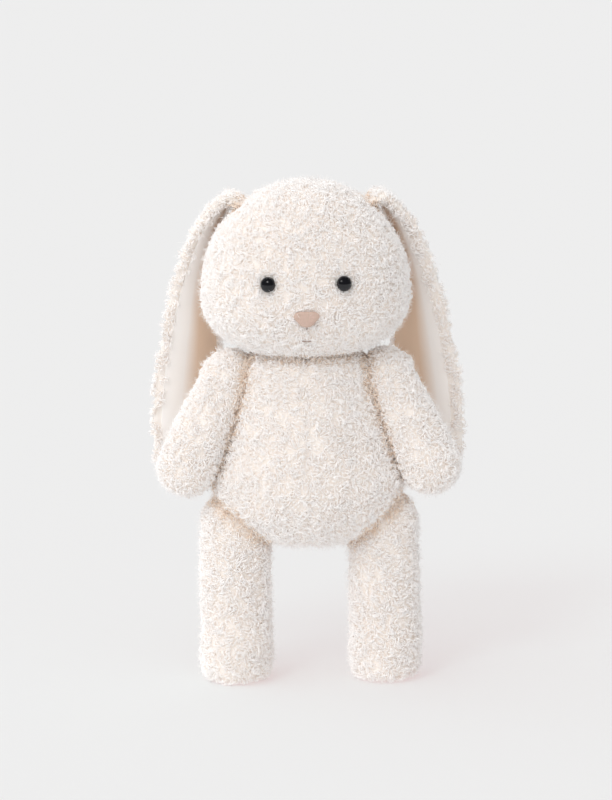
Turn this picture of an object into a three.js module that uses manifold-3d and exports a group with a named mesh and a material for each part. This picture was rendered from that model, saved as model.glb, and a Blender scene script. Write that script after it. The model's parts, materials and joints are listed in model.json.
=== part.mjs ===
// A lop-eared plush rabbit, standing: stuffed shells of curly pile cloth, with the soft filling, pellet
// bags, drawn threads, safety eyes and washers that hold it together. Millimetres, +Z up, the face
// looks along -Y, and the rabbit's own left is +X. The floor under the soles is z = 0.
import * as THREE from "three";
import { mergeVertices } from "three/addons/utils/BufferGeometryUtils.js";
import Module from "manifold-3d";

const wasm = await Module();
wasm.setup();

// ---------------------------------------------------------------- driving dimensions

const clothWall = 2.4; // backing and pile root of the curly cloth
const gap = 0.4; // between two pieces that lie against each other
const threadRadius = 0.9;

const leg = {
  pivot: [48.5, 0, 103], // hip, and the height of the leg's axis above the sole
  radius: 22,
  soleRadius: 23.5,
  soleRound: 8,
  toe: 8, // how far the foot reaches past the column, forwards
  footHeight: 42,
  collar: 4, // of full radius below the drawn thread
  pelletHeight: 15,
  swing: [-20, 85],
};

const torso = {
  halfWidth: 62.5,
  halfDepth: 50,
  bottomZ: 90,
  topZ: 206.5,
  pelletHeight: 16,
  // [share of the half width, share of the height], from the seat to the neck
  outline: [
    [0.48, 0.03],
    [0.75, 0.1],
    [0.93, 0.2],
    [1, 0.33],
    [0.97, 0.45],
    [0.89, 0.59],
    [0.81, 0.73],
    [0.74, 0.85],
    [0.62, 0.95],
    [0.46, 1],
  ],
};

const head = {
  halfWidth: 68,
  halfDepth: 57,
  up: 77, // from the widest level to the crown
  down: 39.5, // from the widest level to the chin
  squareness: 2.15, // 2 is an ellipsoid, more is boxier
  aboveTorso: 6, // the chin's height over the torso's top
};

const neck = { openingRadius: 8.5, threadRing: 11 };

const arm = {
  outside: 12.8, // from the torso's side out to the shoulder's centre
  forward: 4, // from the torso's middle plane
  belowTop: 6.5, // from the torso's top
  reach: [27, -10, -56], // from the shoulder to the centre of the paw
  rootRadius: 16.5,
  pawRadius: 19.5,
  collar: 2, // of full radius below the drawn thread
  raise: 70, // degrees, outwards
};

// The round top of each limb is smaller than its column, which leaves room for the drawn thread.
const threadRoom = 2 * threadRadius + 2 * gap;

const ear = {
  furThickness: 5,
  liningThickness: 2,
  liningMargin: 5, // from the lining's edge to the ear's edge
  curl: 0.16, // how far the long edges curl towards the lining, as a share of the half width
  rootReach: 7.5, // from the head's surface out to the fold at the root
};

// The ear from its root to its tip: how far out, past the head's side and the reach of the root; y
// and z from the fold at the root; the half width; and the turn of the lining from facing the head
// (0 degrees) to facing forwards (90 degrees). Below its widest level, the head's side counts there.
const earStations = [
  [4.5, 0, 1, 9, 0],
  [1.8, 2, -7, 11, 5],
  [-0.7, 6, -20, 13.5, 14],
  [-2.6, 11, -40, 15.5, 30],
  [-1.9, 17, -65, 17.5, 45],
  [-0.9, 22, -93, 22, 55],
  [0.6, 25, -122, 24.5, 60],
  [3.6, 26, -150, 24, 62],
  [6.1, 27, -172, 21, 62],
  [7.1, 27, -185, 15.5, 62],
  [7.6, 27, -194, 8, 62],
  [7.6, 27, -198, 1.2, 62],
];
const leastHalfWidth = 0.8; // of an ear's panel, at its tip
const earRoot = { y: 8, aboveWidest: 59 };

const eye = {
  radius: 5,
  dome: 3.8,
  shankRadius: 1.6,
  shankLength: 8,
  washerRadius: 6,
  washerThickness: 1.5,
  x: 24.5,
  aboveWidest: 16.5,
};

const nose = { width: 18, height: 11.5, thickness: 2.6, cornerRadius: 3, belowWidest: 5 };
const mouth = { width: 4.5, radius: 0.7, belowWidest: 20.5 };
const tail = { radius: 15, z: 121, sunk: 5 };
const backSeam = { lowZ: 140, highZ: 185, radius: 0.8 };

// ---------------------------------------------------------------- solids

const cloth = { color: 0xf3ede6, roughness: 0.95, metalness: 0 };
const materials = {
  curlyCloth: new THREE.MeshStandardMaterial(cloth),
  lining: new THREE.MeshStandardMaterial({ ...cloth, color: 0xece4dc, roughness: 0.8 }),
  filling: new THREE.MeshStandardMaterial({ ...cloth, color: 0xffffff }),
  pelletBag: new THREE.MeshStandardMaterial({ ...cloth, color: 0xd9d4ca, roughness: 0.9 }),
  thread: new THREE.MeshStandardMaterial({ ...cloth, color: 0xd8c6b4, roughness: 0.7 }),
  noseCloth: new THREE.MeshStandardMaterial({ ...cloth, color: 0xd3b3a2, roughness: 0.8 }),
  eyePlastic: new THREE.MeshStandardMaterial({ color: 0x0b0b0d, roughness: 0.08, metalness: 0 }),
  washerPlastic: new THREE.MeshStandardMaterial({ color: 0xe8e8e4, roughness: 0.5, metalness: 0 }),
};

const rabbit = new THREE.Group();

/** The geometry as a closed solid, to cut or join. */
function solid(geometry) {
  const bare = geometry.clone();
  for (const name of Object.keys(bare.attributes)) {
    if (name !== "position") bare.deleteAttribute(name);
  }
  const merged = mergeVertices(bare, 1e-3);
  const vertProperties = new Float32Array(merged.attributes.position.array);
  const triVerts = new Uint32Array(merged.index.array);
  return new wasm.Manifold(new wasm.Mesh({ numProp: 3, vertProperties, triVerts }));
}

/** Adds a solid to the rabbit as a named piece. */
function piece(name, body, material) {
  const { numProp, vertProperties, triVerts } = body.getMesh();
  const position = new Float32Array((vertProperties.length / numProp) * 3);
  for (let i = 0; i < position.length / 3; i += 1) {
    position.set(vertProperties.subarray(i * numProp, i * numProp + 3), i * 3);
  }
  const geometry = new THREE.BufferGeometry();
  geometry.setAttribute("position", new THREE.BufferAttribute(position, 3));
  geometry.setIndex(new THREE.BufferAttribute(new Uint32Array(triVerts), 1));
  geometry.computeVertexNormals();
  const mesh = new THREE.Mesh(geometry, material);
  mesh.name = name;
  rabbit.add(mesh);
}

/** A profile of [radius, height] points turned about the Z axis. */
function turned(profile, segments = 14) {
  const points = profile.map(([r, z]) => new THREE.Vector2(Math.max(r, 0), z));
  return new THREE.LatheGeometry(points, segments).rotateX(Math.PI / 2);
}

/** Points on an arc about [r, z], from one angle to another in degrees; 0 points outwards, 90 up. */
function arc(centre, radius, from, to, steps) {
  return Array.from({ length: steps + 1 }, (_, i) => {
    const angle = THREE.MathUtils.degToRad(from + ((to - from) * i) / steps);
    return [centre[0] + radius * Math.cos(angle), centre[1] + radius * Math.sin(angle)];
  });
}

/** Turns a geometry that hangs along -Z so that it points along the direction, then moves it. */
function aimed(geometry, direction, place) {
  const down = new THREE.Vector3(0, 0, -1);
  const turn = new THREE.Quaternion().setFromUnitVectors(down, direction.clone().normalize());
  return geometry.applyQuaternion(turn).translate(...place);
}

const mirrored = ([x, y, z], side) => [side * x, y, z];
const cylinder = (radius, low, high, segments = 12) =>
  turned([[0, low], [radius, low], [radius, high], [0, high]], segments);
const sides = [["left", 1], ["right", -1]];

// ---------------------------------------------------------------- torso

/** The torso's outer form, drawn in by the inset all over. */
function torsoForm(inset) {
  const low = torso.bottomZ + inset;
  const high = torso.topZ - inset;
  const outline = torso.outline.map(([r, h]) => [
    torso.halfWidth * r - inset,
    low + (high - low) * h,
  ]);
  const form = turned([[0, low], ...outline, [0, high]], 20);
  return solid(form.scale(1, (torso.halfDepth - inset) / (torso.halfWidth - inset), 1));
}

/** The torso's size at a height, as a share of its widest. */
function torsoShare(z) {
  const h = (z - torso.bottomZ) / (torso.topZ - torso.bottomZ);
  const upper = torso.outline.findIndex(([, share]) => share > h);
  const [r0, h0] = torso.outline[upper - 1];
  const [r1, h1] = torso.outline[upper];
  return r0 + ((r1 - r0) * (h - h0)) / (h1 - h0);
}

/** How far back the torso's surface is at a height, on the middle plane. */
const torsoDepth = (z) => torso.halfDepth * torsoShare(z);

const shoulderZ = torso.topZ - arm.belowTop;
const shoulderPlace = [
  torso.halfWidth * torsoShare(shoulderZ) + arm.outside,
  -arm.forward,
  shoulderZ,
];

/** The room that a leg sweeps as it swings and spreads about the hip, open to the outside. */
function hipRoom(side, margin) {
  const radius = leg.radius + margin;
  const reach = 2 * leg.pivot[2];
  const core = 1;
  const [back, front] = leg.swing.map((angle) => THREE.MathUtils.degToRad(-90 - angle));
  const behind = back + Math.PI / 2;
  const above = front + 1.5 * Math.PI;
  const far = (ray, off) => [
    reach * Math.cos(ray) + core * Math.cos(off),
    reach * Math.sin(ray) + core * Math.sin(off),
  ];
  const outline = new THREE.Shape();
  outline.absarc(0, 0, core, behind, above, false);
  outline.lineTo(...far(front, above));
  outline.lineTo(-reach, -reach);
  outline.lineTo(...far(back, behind));
  const swept = new THREE.ExtrudeGeometry(outline, {
    depth: 2 * core + leg.radius,
    steps: 1,
    curveSegments: 3,
    bevelThickness: radius - core,
    bevelSize: radius - core,
    bevelSegments: 5,
  });
  swept.translate(0, 0, side > 0 ? -core : -core - leg.radius);
  // The outline's plane becomes the plane across X: its first axis is Y and its second is Z.
  swept.applyMatrix4(
    new THREE.Matrix4().makeBasis(
      new THREE.Vector3(0, 1, 0),
      new THREE.Vector3(0, 0, 1),
      new THREE.Vector3(1, 0, 0),
    ),
  );
  return solid(swept.translate(...mirrored(leg.pivot, side)));
}

/** The room that an arm sweeps as it turns about the shoulder, open to the outside. */
function shoulderRoom(side, margin) {
  const [out, forward, up] = arm.reach;
  const across = Math.hypot(forward, up);
  const length = Math.hypot(out, across);
  const near = arm.rootRadius + margin;
  const far = arm.pawRadius + margin;
  // The line that touches both the root's and the paw's circle on the side of the torso.
  const lean = THREE.MathUtils.radToDeg(Math.atan2(out, across));
  const widening = THREE.MathUtils.radToDeg(Math.asin((far - near) / length));
  const touch = -90 + lean - widening;
  const outside = out + 2 * far;
  const profile = [
    ...arc([0, 0], near, -90, touch, 3),
    ...arc([across, out], far, touch, 0, 7),
    [across + far, outside],
    [0, outside],
  ];
  const room = turned(profile, 20).rotateY(Math.PI / 2);
  if (side < 0) room.rotateZ(Math.PI);
  return solid(room.translate(...mirrored(shoulderPlace, side)));
}

const limbRooms = (margin) =>
  sides.flatMap(([, side]) => [hipRoom(side, margin), shoulderRoom(side, margin)]);
const without = (body, tools) => tools.reduce((left, tool) => left.subtract(tool), body);
const levelCut = (low, high) => solid(cylinder(3 * torso.halfWidth, low, high, 8));

const torsoHollow = (inset) => without(torsoForm(inset), limbRooms(inset + gap));
const neckOpening = solid(
  cylinder(neck.openingRadius, torso.topZ - 2 * clothWall, torso.topZ + clothWall),
);
piece(
  "torso_skin",
  without(torsoForm(0), limbRooms(gap)).subtract(torsoHollow(clothWall)).subtract(neckOpening),
  materials.curlyCloth,
);

const torsoFilling = torsoHollow(clothWall + gap);
const seatLevel = torso.bottomZ + clothWall + torso.pelletHeight;
piece(
  "seat_pellet_bag",
  torsoFilling.intersect(levelCut(torso.bottomZ, seatLevel)),
  materials.pelletBag,
);
piece(
  "torso_stuffing",
  torsoFilling.intersect(levelCut(seatLevel + gap, torso.topZ)),
  materials.filling,
);

const seamLine = new THREE.CatmullRomCurve3(
  [0, 0.33, 0.67, 1].map((share) => {
    const z = backSeam.lowZ + (backSeam.highZ - backSeam.lowZ) * share;
    return new THREE.Vector3(0, torsoDepth(z) + backSeam.radius + gap, z);
  }),
);
const threadSection = new THREE.Shape().absarc(0, 0, backSeam.radius, 0, 2 * Math.PI);
piece(
  "back_closing_seam",
  solid(
    new THREE.ExtrudeGeometry(threadSection, {
      extrudePath: seamLine,
      steps: 6,
      curveSegments: 3,
    }),
  ),
  materials.thread,
);

const tailCentre = [0, torsoDepth(tail.z) + tail.radius - tail.sunk, tail.z];
const tailBall = (radius) =>
  solid(new THREE.SphereGeometry(radius, 12, 8).rotateX(Math.PI / 2).translate(...tailCentre));
const tailHollow = tailBall(tail.radius - clothWall).subtract(torsoForm(-clothWall - 2 * gap));
const tailOpening = solid(
  cylinder(tail.radius / 2, 0, tail.radius + clothWall)
    .rotateX(Math.PI / 2)
    .translate(...tailCentre),
);
piece(
  "tail_skin",
  tailBall(tail.radius).subtract(torsoForm(-gap)).subtract(tailHollow).subtract(tailOpening),
  materials.curlyCloth,
);
piece(
  "tail_stuffing",
  tailBall(tail.radius - clothWall - gap).subtract(torsoForm(-clothWall - 3 * gap)),
  materials.filling,
);

// ---------------------------------------------------------------- head

const headPlace = [0, 0, torso.topZ + head.aboveTorso + head.down];

/** The head's outer form, drawn in by the inset all over. */
function headForm(inset) {
  const ball = new THREE.SphereGeometry(1, 20, 13).rotateX(Math.PI / 2);
  const { position } = ball.attributes;
  const power = head.squareness;
  for (let i = 0; i < position.count; i += 1) {
    const p = new THREE.Vector3().fromBufferAttribute(position, i);
    const sum = Math.abs(p.x) ** power + Math.abs(p.y) ** power + Math.abs(p.z) ** power;
    p.multiplyScalar(sum ** (-1 / power));
    p.x *= head.halfWidth - inset;
    p.y *= head.halfDepth - inset;
    p.z *= (p.z > 0 ? head.up : head.down) - inset;
    position.setXYZ(i, p.x, p.y, p.z);
  }
  return solid(ball.translate(...headPlace));
}

/** The point on the head at a height over its widest level, from one of x or y: {place, normal}. */
function onHead(height, { x, y }) {
  const power = head.squareness;
  const rise = height > 0 ? head.up : head.down;
  const share = (value, half) => Math.abs(value / half) ** power;
  const left = 1 - share(height, rise);
  if (x === undefined) {
    x = head.halfWidth * (left - share(y, head.halfDepth)) ** (1 / power);
  } else {
    y = -head.halfDepth * (left - share(x, head.halfWidth)) ** (1 / power);
  }
  const slope = (value, half) => (Math.sign(value) * Math.abs(value / half) ** (power - 1)) / half;
  const normal = new THREE.Vector3(
    slope(x, head.halfWidth),
    slope(y, head.halfDepth),
    slope(height, rise),
  ).normalize();
  const place = new THREE.Vector3(x, y, height).add(new THREE.Vector3(...headPlace));
  return { place, normal };
}

const washerSeat = clothWall + 4 * gap;
const washerDepth = washerSeat + eye.washerThickness;
const eyeHoles = [];
const eyePockets = [];
for (const [name, side] of sides) {
  const spot = onHead(eye.aboveWidest, { x: side * eye.x });
  const inwards = spot.normal.clone().negate();
  const place = spot.place.toArray();
  // Each profile hangs along -Z, which is the way into the head.
  const bead = [
    [0, -eye.shankLength],
    [eye.shankRadius, -eye.shankLength],
    [eye.shankRadius, gap],
    [eye.radius, gap],
    ...arc([0, gap], 1, 0, 90, 5).map(([r, h]) => [
      eye.radius * r,
      gap + (h - gap) * eye.dome,
    ]),
  ];
  piece(`${name}_eye`, solid(aimed(turned(bead, 14), inwards, place)), materials.eyePlastic);
  const bore = eye.shankRadius + gap;
  const washer = [
    [bore, -washerDepth],
    [eye.washerRadius, -washerDepth],
    [eye.washerRadius, -washerSeat],
    [bore, -washerSeat],
    [bore, -washerDepth],
  ];
  piece(
    `${name}_eye_washer`,
    solid(aimed(turned(washer, 14), inwards, place)),
    materials.washerPlastic,
  );
  eyeHoles.push(solid(aimed(cylinder(bore, -washerDepth, clothWall, 14), inwards, place)));
  const pocket = cylinder(eye.washerRadius + gap, -eye.shankLength - gap, clothWall, 14);
  eyePockets.push(solid(aimed(pocket, inwards, place)));
}

const chinZ = headPlace[2] - head.down;
const headOpening = solid(
  cylinder(neck.openingRadius, chinZ - clothWall, chinZ + 2 * clothWall),
);
piece(
  "head_skin",
  without(headForm(0).subtract(headForm(clothWall)), [headOpening, ...eyeHoles]),
  materials.curlyCloth,
);
piece("head_stuffing", without(headForm(clothWall + gap), eyePockets), materials.filling);

/** A drawn thread: a ring about an axis through its centre. */
function threadRing(radius, axis, place) {
  return solid(aimed(new THREE.TorusGeometry(radius, threadRadius, 4, 14), axis, place));
}
const neckThreadZ = torso.topZ + gap + threadRadius;
piece(
  "neck_stitch",
  threadRing(neck.threadRing, new THREE.Vector3(0, 0, -1), [0, 0, neckThreadZ]),
  materials.thread,
);

// The nose pad: a rounded triangle, wide at the top, facing forwards.
const noseOutline = new THREE.Shape();
const noseHalf = nose.width / 2 - nose.cornerRadius;
const noseTop = nose.height / 2 - nose.cornerRadius;
noseOutline.absarc(-noseHalf, noseTop, nose.cornerRadius, Math.PI / 2, (7 / 6) * Math.PI);
noseOutline.absarc(0, -noseTop, nose.cornerRadius, (7 / 6) * Math.PI, (11 / 6) * Math.PI);
noseOutline.absarc(noseHalf, noseTop, nose.cornerRadius, -Math.PI / 6, Math.PI / 2);
const noseBevel = 1;
const nosePad = new THREE.ExtrudeGeometry(noseOutline, {
  depth: nose.thickness - 2 * noseBevel,
  curveSegments: 2,
  bevelThickness: noseBevel,
  bevelSize: noseBevel,
  bevelOffset: -noseBevel,
  bevelSegments: 2,
});
nosePad.translate(0, 0, noseBevel).rotateX(Math.PI / 2);
const noseSpot = onHead(-nose.belowWidest, { x: 0 }).place;
piece(
  "nose",
  solid(nosePad.translate(0, -head.halfDepth - gap, noseSpot.z)),
  materials.noseCloth,
);

const mouthSpot = onHead(-mouth.belowWidest, { x: 0 });
const mouthLift = mouthSpot.normal.clone().multiplyScalar(mouth.radius + gap);
const mouthThread = new THREE.CapsuleGeometry(mouth.radius, mouth.width, 3, 7).rotateZ(Math.PI / 2);
piece(
  "mouth_stitch",
  solid(mouthThread.translate(...mouthSpot.place.clone().add(mouthLift).toArray())),
  materials.thread,
);

// ---------------------------------------------------------------- ears

const earSpot = onHead(earRoot.aboveWidest, { y: earRoot.y });
const earFold = earSpot.place.clone().addScaledVector(earSpot.normal, ear.rootReach);

/** A panel of the ear. Its front lies from the ear's middle layer towards the lining by "front". */
function earPanel(side, { front, thickness, margin }) {
  const spine = new THREE.CatmullRomCurve3(
    earStations.map(([out, y, z]) => {
      const height = Math.max(z + earFold.z - headPlace[2], 0);
      const headSide = onHead(height, { y: 0 }).place.x;
      return new THREE.Vector3(headSide + ear.rootReach + out, y + earFold.y, z + earFold.z);
    }),
  );
  const last = earStations.length - 1;
  const endShare = margin / spine.getLength();
  const flat = new THREE.BoxGeometry(2, 1, 1, 5, 1, 13);
  const { position } = flat.attributes;
  for (let i = 0; i < position.count; i += 1) {
    const across = position.getX(i);
    const layer = position.getY(i) + 0.5;
    const along = endShare + (1 - 2 * endShare) * (0.5 - position.getZ(i));
    const at = spine.getUtoTmapping(along, null);
    const low = Math.min(Math.floor(at * last), last - 1);
    const mix = at * last - low;
    const between = (column) =>
      THREE.MathUtils.lerp(earStations[low][column], earStations[low + 1][column], mix);
    const half = Math.max(between(3) - margin, leastHalfWidth);
    const turn = THREE.MathUtils.degToRad(between(4));
    const width = new THREE.Vector3(-Math.sin(turn), Math.cos(turn), 0);
    const facing = width.clone().cross(spine.getTangent(at)).normalize();
    const curl = ear.curl * between(3) * across * across * (half / between(3)) ** 2;
    const place = spine
      .getPoint(at)
      .addScaledVector(width, half * across)
      .addScaledVector(facing, front - thickness * layer + curl);
    position.setXYZ(i, side * place.x, place.y, place.z);
  }
  const panel = solid(flat);
  return panel.volume() < 0 ? solid(turnedInsideOut(flat)) : panel;
}

/** The same faces, seen from the other side. */
function turnedInsideOut(geometry) {
  const order = geometry.index.array;
  for (let i = 0; i < order.length; i += 3) {
    [order[i], order[i + 1]] = [order[i + 1], order[i]];
  }
  return geometry;
}

for (const [name, side] of sides) {
  const fur = { front: ear.furThickness / 2, thickness: ear.furThickness, margin: 0 };
  piece(`${name}_ear_back`, earPanel(side, fur), materials.curlyCloth);
  const lining = {
    front: fur.front + gap + ear.liningThickness,
    thickness: ear.liningThickness,
    margin: ear.liningMargin,
  };
  piece(`${name}_ear_lining`, earPanel(side, lining), materials.lining);
}

// ---------------------------------------------------------------- arms

/** An arm as a body of revolution that hangs from its shoulder along -Z, drawn in by the inset. */
function armForm(inset) {
  const length = Math.hypot(...arm.reach);
  const top = arm.rootRadius - threadRoom - inset;
  const paw = arm.pawRadius - inset;
  return turned(
    [
      ...arc([0, -length], paw, -90, 8, 5),
      [arm.rootRadius - inset, -threadRoom - arm.collar],
      ...arc([0, 0], top, 0, 90, 3),
    ],
    14,
  );
}

for (const [name, side] of sides) {
  const reach = new THREE.Vector3(...mirrored(arm.reach, side));
  const shoulder = mirrored(shoulderPlace, side);
  const place = (geometry) => solid(aimed(geometry, reach, shoulder));
  const opening = cylinder(arm.rootRadius / 2, 0, arm.rootRadius);
  piece(
    `${name}_arm_skin`,
    place(armForm(0)).subtract(place(armForm(clothWall))).subtract(place(opening)),
    materials.curlyCloth,
  );
  piece(`${name}_arm_stuffing`, place(armForm(clothWall + gap)), materials.filling);
  // The thread lies half way between where the arm's top faces when it hangs and when it is raised.
  const turn = THREE.MathUtils.degToRad((-side * arm.raise) / 2);
  const facing = reach.clone().applyAxisAngle(new THREE.Vector3(0, 1, 0), turn);
  piece(
    `${name}_shoulder_stitch`,
    limbThread(arm.rootRadius, facing, shoulder),
    materials.thread,
  );
}

/** The drawn thread that closes a limb's top, on the ball between the limb and the torso. */
function limbThread(limbRadius, reach, pivot) {
  const onBall = limbRadius - threadRadius - gap;
  const radius = onBall / 2;
  const height = Math.sqrt(onBall ** 2 - radius ** 2);
  const centre = new THREE.Vector3(...pivot).addScaledVector(reach.clone().normalize(), -height);
  return threadRing(radius, reach, centre.toArray());
}

// ---------------------------------------------------------------- legs

/** A leg that hangs from its hip, drawn in by the inset, with a flat sole and a toe. */
function legForm(inset) {
  const height = leg.pivot[2];
  const edge = leg.soleRadius - leg.soleRound;
  const top = leg.radius - threadRoom - inset;
  const sole = -height + inset;
  const form = turned(
    [
      [0, sole],
      ...arc([edge, -height + leg.soleRound], leg.soleRound - inset, -90, 0, 3),
      [leg.soleRadius - inset, -height + 0.55 * leg.footHeight],
      [leg.radius - 1 - inset, -height + 1.3 * leg.footHeight],
      [leg.radius - inset, -threadRoom - leg.collar],
      ...arc([0, 0], top, 0, 90, 3),
    ],
    16,
  );
  const { position } = form.attributes;
  for (let i = 0; i < position.count; i += 1) {
    const y = position.getY(i);
    const high = (position.getZ(i) + height) / leg.footHeight;
    const share = high < 1 && y < 0 ? Math.cos((high * Math.PI) / 2) : 0;
    position.setY(i, y * (1 + (leg.toe / leg.soleRadius) * share));
  }
  return form;
}

for (const [name, side] of sides) {
  const hip = mirrored(leg.pivot, side);
  const place = (geometry) => solid(geometry.translate(...hip));
  const opening = cylinder(leg.radius / 2, 0, leg.radius);
  piece(
    `${name}_leg_skin`,
    place(legForm(0)).subtract(place(legForm(clothWall))).subtract(place(opening)),
    materials.curlyCloth,
  );
  const filling = place(legForm(clothWall + gap));
  const level = clothWall + leg.pelletHeight;
  piece(
    `${name}_foot_pellet_bag`,
    filling.intersect(levelCut(0, level)),
    materials.pelletBag,
  );
  piece(
    `${name}_leg_stuffing`,
    filling.intersect(levelCut(level + gap, 2 * leg.pivot[2])),
    materials.filling,
  );
  piece(
    `${name}_hip_stitch`,
    limbThread(leg.radius, new THREE.Vector3(0, 0, -1), hip),
    materials.thread,
  );
}

// The origin is on the floor, under the middle of the rabbit's box.
const box = new THREE.Box3().setFromObject(rabbit);
const middle = box.getCenter(new THREE.Vector3());
rabbit.position.set(-middle.x, -middle.y, -box.min.z);

export default rabbit;
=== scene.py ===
"""A lop-eared plush rabbit of curly pile cloth, standing on a pale floor. Metres, +Z up.

The face looks along -Y and the rabbit's own left is +X. Each stuffed part is a skin of backing cloth
with a pile of curled locks rooted in it. The pile is real geometry, in patches like cut panels.
"""

import json
import math

import bpy
import numpy as np
from mathutils import Matrix, Vector
from mathutils.bvhtree import BVHTree
from mathutils.kdtree import KDTree


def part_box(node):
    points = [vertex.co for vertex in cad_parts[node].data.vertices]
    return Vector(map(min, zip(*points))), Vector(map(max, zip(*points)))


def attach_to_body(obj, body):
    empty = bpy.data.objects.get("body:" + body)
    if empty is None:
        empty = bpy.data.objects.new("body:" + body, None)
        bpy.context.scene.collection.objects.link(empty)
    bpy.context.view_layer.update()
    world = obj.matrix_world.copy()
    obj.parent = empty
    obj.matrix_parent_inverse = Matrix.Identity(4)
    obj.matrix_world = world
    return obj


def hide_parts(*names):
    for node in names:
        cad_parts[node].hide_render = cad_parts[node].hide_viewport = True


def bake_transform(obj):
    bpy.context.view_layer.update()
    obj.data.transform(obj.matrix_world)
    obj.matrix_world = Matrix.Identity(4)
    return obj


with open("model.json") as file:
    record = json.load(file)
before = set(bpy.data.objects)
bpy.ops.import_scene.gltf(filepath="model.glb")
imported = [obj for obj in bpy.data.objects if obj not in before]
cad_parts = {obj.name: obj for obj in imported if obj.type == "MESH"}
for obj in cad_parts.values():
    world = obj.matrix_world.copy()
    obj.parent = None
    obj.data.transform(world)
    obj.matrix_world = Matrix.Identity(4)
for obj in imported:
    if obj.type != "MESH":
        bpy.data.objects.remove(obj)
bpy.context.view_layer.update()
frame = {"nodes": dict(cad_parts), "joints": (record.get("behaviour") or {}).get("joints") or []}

MM = 0.001
SIDES = (("left", 1), ("right", -1))
PIVOTS = {joint["name"]: np.array(joint["pos_m"]) for joint in frame["joints"]}

# ---------------------------------------------------------------- the pile

PILE_HEIGHT = 3.6 * MM  # how far the locks stand over the backing cloth
TUFT_SPACING = 3.7 * MM  # between the middles of two tufts
LOCKS_IN_TUFT = 13
LOCK_RINGS = 6
LOCK_RADIUS = 0.42 * MM
ROOT_RINGS = 2  # the rings of a lock near its root that take painted shade, darker and warmer, for the shade deep in the pile
MOST_LOCKS = 5000  # in one patch
CREASE_SHADE_CORE = 3.5 * MM  # painted shade: where two skins are this close, locks take the warm tan that stands for the shade in the crease between them
CREASE_SHADE_REACH = 9 * MM  # and that painted shade ends here
HAIR_RADIUS = 0.13 * MM
HAIRS_PER_TUFT = 2.6
FLOOR_CLEARANCE = 0.2 * MM  # the lowest that a lock reaches over the floor
CANDIDATES = 7  # places tried for each square of the tuft spacing
LEAST_GAP = 0.8  # between two tufts, as a share of their spacing
TUFT_SPREAD = 0.64  # how far from its middle a tuft has roots, as a share of the spacing
TUFT_LEAN = 0.3  # how far the locks at a tuft's edge lean out
TUFT_CROWN = 1.12  # how high a tuft's middle stands
TUFT_FALL = 0.42  # how much lower its edge is
ROOT_DEPTH = 0.5 * MM  # of the locks, in the backing cloth
HAIR_POINTS = 5
PILE_LUMPS = 9 * MM  # the size of the rises and dips in the pile's height
LUMP_SHARE = 0.12
LEAST_PILE = 0.15  # a tuft that would be lower than this share is left out
SWELL = 34 * MM  # the size of the swells that hand filling leaves
FINE_SWELL = 15 * MM  # and of the finer ones, which are half as high

# ---------------------------------------------------------------- materials


def principled(name, color, roughness, **sockets):
    """A material of one Principled shader, with each value set on the shader's own socket.

    color is what shows where nothing is linked over it.
    """
    material = bpy.data.materials.new(name)
    material.use_nodes = True
    shader = material.node_tree.nodes["Principled BSDF"]
    shader.inputs["Base Color"].default_value = (*color, 1)
    shader.inputs["Roughness"].default_value = roughness
    for socket, value in sockets.items():
        shader.inputs[socket.replace("_", " ")].default_value = value
    return material


def node(material, kind, **values):
    """A new node in the material, with its properties or inputs set."""
    made = material.node_tree.nodes.new(kind)
    for key, value in values.items():
        if key in made.inputs:
            made.inputs[key].default_value = value
        else:
            setattr(made, key, value)
    return made


def ramp(material, source, stops):
    """A colour ramp that reads source, with its (place, colour) stops."""
    made = node(material, "ShaderNodeValToRGB")
    elements = made.color_ramp.elements
    while len(elements) < len(stops):
        elements.new(0.5)
    for element, (place, color) in zip(elements, stops):
        element.position = place
        element.color = (*color, 1)
    material.node_tree.links.new(source, made.inputs["Fac"])
    return made.outputs["Color"]


def bumped(material, source, distance, strength=1.0):
    """Makes source the height of the material's surface."""
    bump = node(material, "ShaderNodeBump", Strength=strength, Distance=distance)
    shader = material.node_tree.nodes["Principled BSDF"]
    material.node_tree.links.new(source, bump.inputs["Height"])
    material.node_tree.links.new(bump.outputs["Normal"], shader.inputs["Normal"])


def noise_of(material, scale, detail=3.0, stretch=(1, 1, 1)):
    """Noise in object space, that many bumps to a metre, stretched along each axis."""
    place = node(material, "ShaderNodeTexCoord")
    mapping = node(material, "ShaderNodeMapping", Scale=stretch)
    noise = node(material, "ShaderNodeTexNoise", Scale=scale, Detail=detail)
    links = material.node_tree.links
    links.new(place.outputs["Object"], mapping.inputs["Vector"])
    links.new(mapping.outputs["Vector"], noise.inputs["Vector"])
    return noise.outputs["Fac"]


def backing_material():
    """The knitted backing cloth under the pile: warm cream, mottled, with a fine knit; partly painted
    shade, kept darker than the pile so the gaps between the tufts look shaded.
    """
    material = principled("backing_cloth", (0.8, 0.66, 0.52), 0.95)
    # Partly painted shade: the cloth is darker and warmer than the locks over it.
    color = ramp(
        material,
        noise_of(material, 260),
        [(0.3, (0.94, 0.89, 0.84)), (0.7, (0.955, 0.915, 0.88))],
    )
    shader = material.node_tree.nodes["Principled BSDF"]
    material.node_tree.links.new(color, shader.inputs["Base Color"])
    bumped(material, noise_of(material, 900), 0.3 * MM)
    return material


def lining_material():
    """The ear's lining: short velour, with painted light and shade: pale at the outer edge, where
    light falls, and tan towards the inner edge, where the head shades it.
    """
    material = principled(
        "velour_lining", (0.95, 0.9, 0.86), 0.75, Sheen_Weight=0.2, Sheen_Roughness=0.4
    )
    # The lining's painted light and shade, read from a value stored on its points.
    lining_shade = node(material, "ShaderNodeAttribute", attribute_name="lining_shade")
    color = ramp(material, lining_shade.outputs["Fac"], LINING_SHADE_STOPS)
    shader = material.node_tree.nodes["Principled BSDF"]
    material.node_tree.links.new(color, shader.inputs["Base Color"])
    bumped(material, noise_of(material, 1500, 4.0, (1, 1, 0.3)), 0.12 * MM)
    return material


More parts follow.
